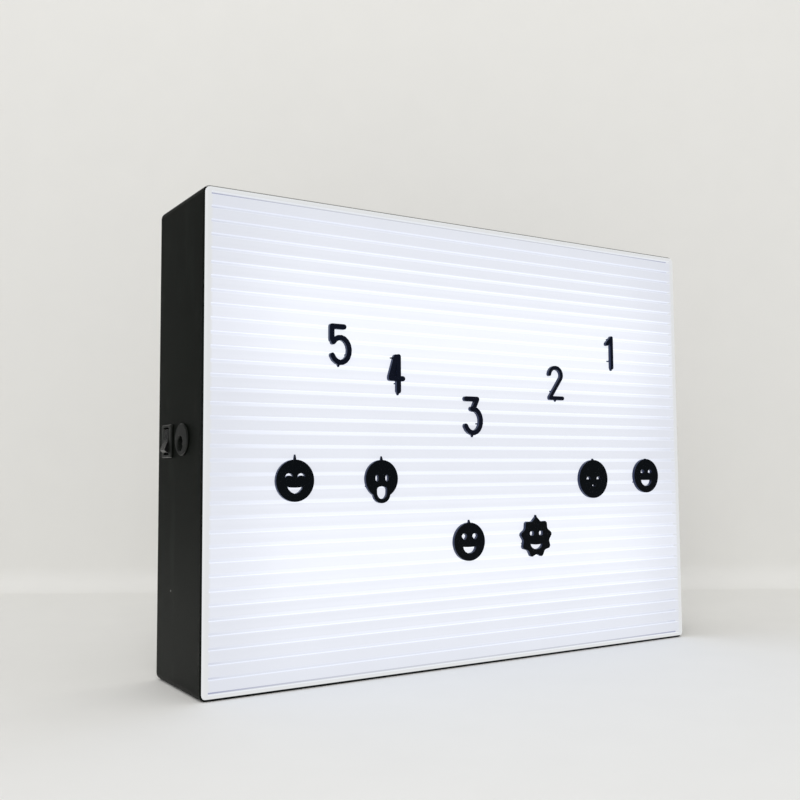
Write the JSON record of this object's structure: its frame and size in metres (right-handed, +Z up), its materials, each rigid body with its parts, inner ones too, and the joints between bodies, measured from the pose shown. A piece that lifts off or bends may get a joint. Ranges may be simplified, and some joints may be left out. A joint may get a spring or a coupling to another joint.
{
  "type": "light_box",
  "caption": "Free-standing letter light box with a black moulded case, a lit white panel with horizontal grooves, and black push-in digits and round faces.",
  "frame": {"origin": "Middle of the bottom face of the case, halfway across the width and halfway from the panel's face to the back.", "axes": "+X to the right seen from the front, +Y from the lit panel to the back, +Z up"},
  "size_m": [0.293, 0.06, 0.22],
  "materials": {
    "case": "fine-grained moulded black plastic",
    "panel": "translucent white moulded plastic, lit from behind",
    "figure": "satin black moulded plastic",
    "fitting": "satin black moulded plastic",
    "rocker": "polished black moulded plastic",
    "metal": "bright nickel-plated steel",
    "cell": "plain dark shrink sleeve",
    "strip": "white solder-resist board with pale diodes",
    "reflector": "matt white reflective sheet",
    "lead_red": "red insulated lead",
    "lead_black": "black insulated lead"
  },
  "bodies": {
    "housing": {"rear_case": "case", "front_panel": "panel", "battery_cell_1": "cell", "battery_cell_2": "cell", "battery_cell_3": "cell", "battery_cell_4": "cell", "battery_cell_5": "cell", "battery_cell_6": "cell", "contact_plus": "metal", "contact_minus": "metal", "contact_link_left": "metal", "contact_link_right": "metal", "spring_minus": "metal", "spring_link_left": "metal", "spring_link_right": "metal", "reflector_sheet": "reflector", "led_strip_upper": "strip", "led_strip_lower": "strip", "dc_jack_socket": "fitting", "dc_jack_pin": "metal", "dc_jack_sleeve": "metal", "dc_jack_nut": "metal", "switch_body": "fitting", "switch_terminal_in": "metal", "switch_terminal_out": "metal", "digit_1": "figure", "digit_2": "figure", "digit_3": "figure", "digit_4": "figure", "digit_5": "figure", "face_laughing": "figure", "face_open_mouth": "figure", "face_smile": "figure", "face_sun": "figure", "face_calm": "figure", "face_grin": "figure", "lead_battery_plus": "lead_red", "lead_jack_plus": "lead_red", "lead_switch_out": "lead_red", "lead_link_plus": "lead_red", "lead_battery_minus": "lead_black", "lead_strip_minus": "lead_black", "lead_link_minus": "lead_black"},
    "battery_door": {"battery_door": "case"},
    "switch_rocker": {"switch_rocker": "rocker"}
  },
  "joints": [
    {"name": "battery_door_hinge", "type": "hinge", "parent": "housing", "child": "battery_door", "pos_m": [0, 0.029, 0.08425], "axis": [-1, 0, 0], "range_deg": [0, 60]},
    {"name": "switch_rocker_hinge", "type": "hinge", "parent": "housing", "child": "switch_rocker", "pos_m": [-0.1435, 0.0143, 0.11], "axis": [0, -1, 0], "range_deg": [0, 22]}
  ]
}
